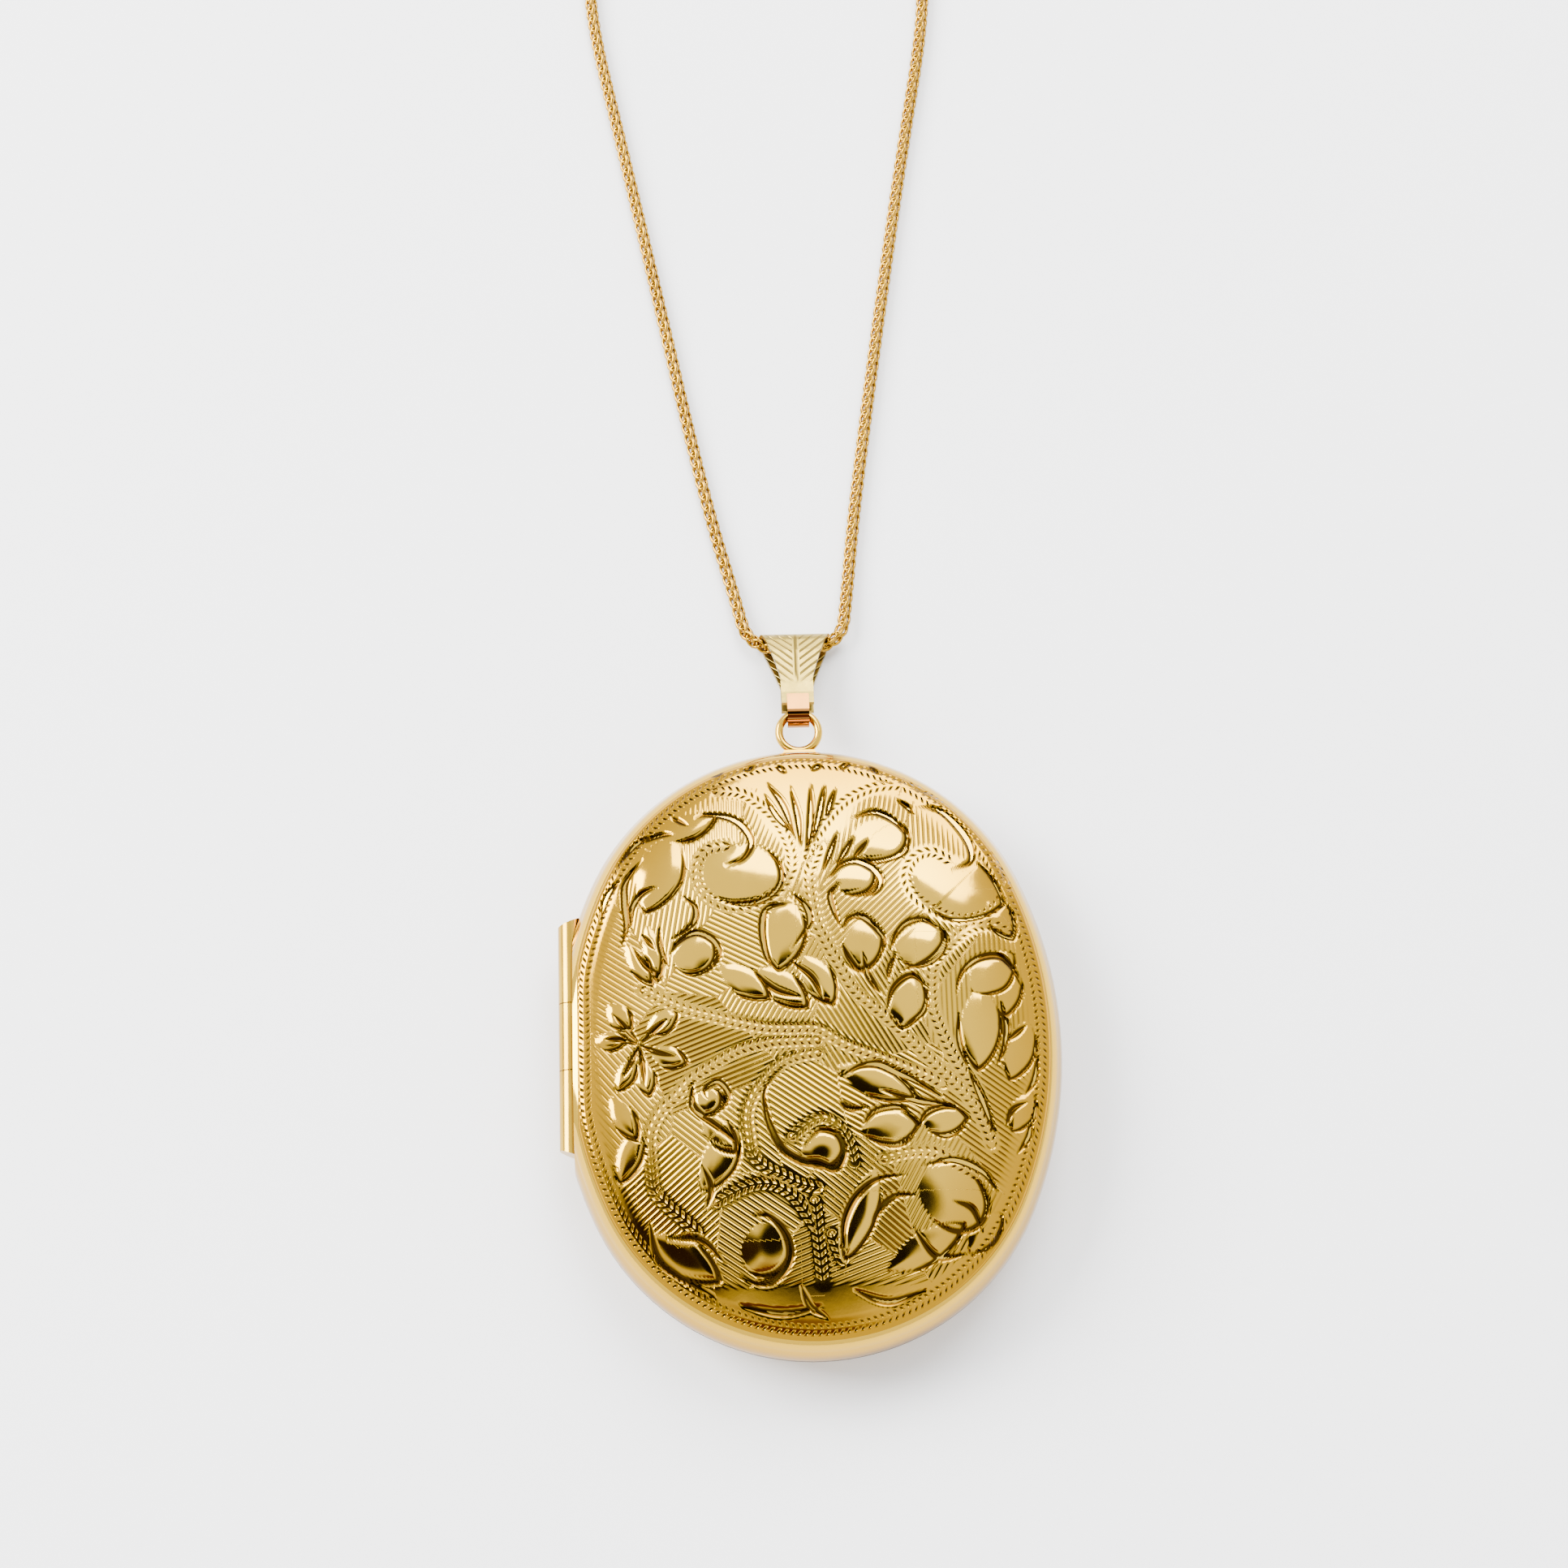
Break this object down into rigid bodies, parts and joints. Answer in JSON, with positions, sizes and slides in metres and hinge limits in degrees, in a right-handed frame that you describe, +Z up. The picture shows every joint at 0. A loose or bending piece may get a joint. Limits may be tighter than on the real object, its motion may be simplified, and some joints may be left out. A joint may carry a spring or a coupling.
{
  "type": "locket",
  "caption": "Oval engraved picture locket with a side hinge and fitted picture frames, hung by a folded bail on a fine woven neck chain with a bolt-ring clasp.",
  "frame": {"origin": "centre of the flat that the back rests on", "axes": "+Z up through the engraved face, +Y from the locket towards its bail and chain, hinge on the -X side"},
  "size_m": [0.0358, 0.1336, 0.0088],
  "materials": {
    "polished_gold": "polished",
    "engraved_gold": "polished, hand engraved",
    "inner_gold": "polished",
    "hinge_gold": "polished",
    "satin_gold": "satin, engraved",
    "rose_gold": "polished",
    "chain_gold": "polished",
    "spring_steel": "drawn",
    "clear_window": "clear",
    "picture_card": "plain",
    "paper_tie": "plain"
  },
  "bodies": {
    "back_half": {"back_cover": "polished_gold", "back_rim": "inner_gold", "back_picture_frame": "inner_gold", "back_window": "clear_window", "back_picture_card": "picture_card", "hinge_knuckle_upper": "polished_gold", "hinge_knuckle_lower": "polished_gold", "hinge_pin": "hinge_gold", "hanging_ring": "polished_gold", "ring_foot": "polished_gold", "chain_left": "chain_gold", "chain_right": "chain_gold", "chain_coil": "chain_gold", "coil_tie": "paper_tie", "clasp_body": "chain_gold", "clasp_spring": "spring_steel", "clasp_loop": "chain_gold", "end_ring_left": "chain_gold", "end_ring_right": "chain_gold", "chain_tail_left": "chain_gold", "chain_tail_right": "chain_gold"},
    "front_half": {"front_cover": "engraved_gold", "front_rim": "inner_gold", "front_picture_frame": "inner_gold", "front_window": "clear_window", "front_picture_card": "picture_card", "hinge_knuckle_middle": "polished_gold"},
    "bail": {"bail": "satin_gold", "bail_strap": "rose_gold"},
    "clasp_trigger": {"clasp_bolt": "chain_gold"}
  },
  "joints": [
    {"name": "cover_hinge", "type": "hinge", "parent": "back_half", "child": "front_half", "pos_m": [-0.0169, 0.0012, 0.00405], "axis": [0, -1, 0], "range_deg": [0, 165]},
    {"name": "bail_swing", "type": "hinge", "parent": "back_half", "child": "bail", "pos_m": [0, 0.0255, 0.00338], "axis": [1, 0, 0], "range_deg": [-60, 110], "deforming": ["chain_left", "chain_right"]},
    {"name": "clasp_trigger_slide", "type": "hinge", "parent": "back_half", "child": "clasp_trigger", "pos_m": [0.0031, 0.1025, 0.0028], "axis": [0, 0, -1], "range_deg": [0, 40], "stiffness_Nm_per_rad": 0.0002, "springref_deg": -17.19, "deforming": ["clasp_spring"]}
  ]
}
